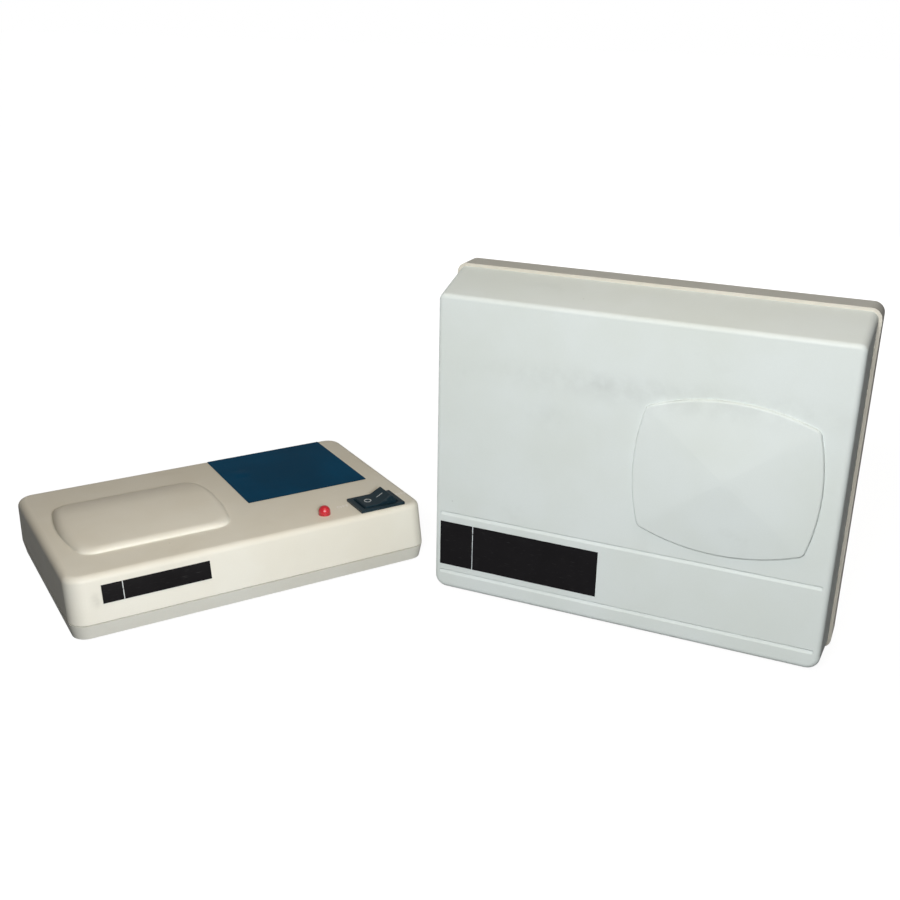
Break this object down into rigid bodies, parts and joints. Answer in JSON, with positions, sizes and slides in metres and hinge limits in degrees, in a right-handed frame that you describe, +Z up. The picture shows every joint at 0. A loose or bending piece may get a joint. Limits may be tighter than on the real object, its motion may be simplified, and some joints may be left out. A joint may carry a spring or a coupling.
{
  "type": "tv signal amplifier",
  "caption": "Two-piece television signal amplifier: upright mast-mounted amplifier box with a pull-off cover, and a low indoor power unit with rocker switch, lamp and coax sockets.",
  "frame": {"origin": "middle of the outdoor unit's flat underside, on the surface that both units stand on", "axes": "+X to the outdoor unit's right as seen from its front, +Y to its back and the mast, +Z up; the indoor unit stands to the left, turned 54.7 degrees about +Z"},
  "size_m": [0.3317, 0.181, 0.1325],
  "materials": {
    "beige_plastic": "fine satin moulding",
    "white_plastic": "fine satin moulding",
    "navy_film": "printed film",
    "black_film": "printed film",
    "black_plastic": "satin",
    "red_lens": "clear diffused",
    "rubber": "matt",
    "zinc_steel": "zinc plated",
    "brass": "plain",
    "nickel": "nickel plated",
    "tinned_wire": "tinned",
    "iron": "laminated",
    "ferrite": "sintered",
    "copper_wire": "enamelled",
    "yellow_tape": "polyester tape",
    "nylon": "natural",
    "brown_board": "phenolic paper",
    "green_board": "solder mask",
    "black_epoxy": "moulded",
    "capacitor_sleeve": "shrink sleeve",
    "ceramic": "dipped",
    "resistor_body": "lacquered"
  },
  "bodies": {
    "indoor_unit": {"indoor_top": "beige_plastic", "indoor_base": "beige_plastic", "indoor_feet": "rubber", "indoor_case_screws": "zinc_steel", "indoor_panel": "navy_film", "indoor_label": "black_film", "switch_housing": "black_plastic", "switch_tabs": "brass", "lamp_lens": "red_lens", "lamp_legs": "tinned_wire", "transformer_core": "iron", "transformer_bobbin": "nylon", "transformer_winding": "yellow_tape", "transformer_clip": "zinc_steel", "transformer_screws": "zinc_steel", "supply_board": "brown_board", "supply_board_screws": "zinc_steel", "smoothing_capacitor": "capacitor_sleeve", "rectifier_diodes": "black_epoxy", "choke_ring": "ferrite", "supply_discs": "ceramic", "supply_leads": "tinned_wire", "coax_sockets": "nickel", "coax_socket_nuts": "nickel", "coax_socket_cores": "nylon", "mains_grommet": "rubber"},
    "rocker": {"switch_paddle": "black_plastic"},
    "outdoor_unit": {"outdoor_case": "white_plastic", "amplifier_board": "green_board", "amplifier_board_screws": "zinc_steel", "matching_core": "ferrite", "transistors": "black_epoxy", "air_coils": "copper_wire", "amplifier_capacitors": "capacitor_sleeve", "amplifier_discs": "ceramic", "amplifier_resistors": "resistor_body", "amplifier_leads": "tinned_wire", "cable_clips": "nickel", "cable_clip_screws": "zinc_steel", "signal_screws": "brass", "cable_grommets": "rubber", "clamp_inserts": "brass"},
    "cover": {"outdoor_cover": "white_plastic", "outdoor_label": "black_film"},
    "strap": {"clamp_strap": "zinc_steel", "clamp_washers": "zinc_steel"},
    "screw_left": {"clamp_screw_left": "zinc_steel"},
    "screw_right": {"clamp_screw_right": "zinc_steel"}
  },
  "joints": [
    {"name": "rocker_tilt", "type": "hinge", "parent": "indoor_unit", "child": "rocker", "pos_m": [-0.11263, -0.01852, 0.0235], "axis": [-0.8161, 0.5779, 0], "range_deg": [0, 28]},
    {"name": "outdoor_lift", "type": "slide", "parent": "indoor_unit", "child": "outdoor_unit", "axis": [0, 0, 1], "range_m": [0, 0.2]},
    {"name": "cover_pull", "type": "slide", "parent": "outdoor_unit", "child": "cover", "axis": [0, -1, 0], "range_m": [0, 0.06]},
    {"name": "strap_slide", "type": "slide", "parent": "outdoor_unit", "child": "strap", "axis": [0, 1, 0], "range_m": [0, 0.0056]},
    {"name": "screw_left_turn", "type": "hinge", "parent": "strap", "child": "screw_left", "pos_m": [-0.026, 0.026, 0.074], "axis": [0, 1, 0], "range_deg": [0, 2521]},
    {"name": "screw_right_turn", "type": "hinge", "parent": "strap", "child": "screw_right", "pos_m": [0.026, 0.026, 0.074], "axis": [0, 1, 0], "range_deg": [0, 2521]}
  ],
  "couplings": [
    {"joint": "screw_left_turn", "follows": "strap_slide", "rad_per_m": 7854},
    {"joint": "screw_right_turn", "follows": "strap_slide", "rad_per_m": 7854}
  ]
}
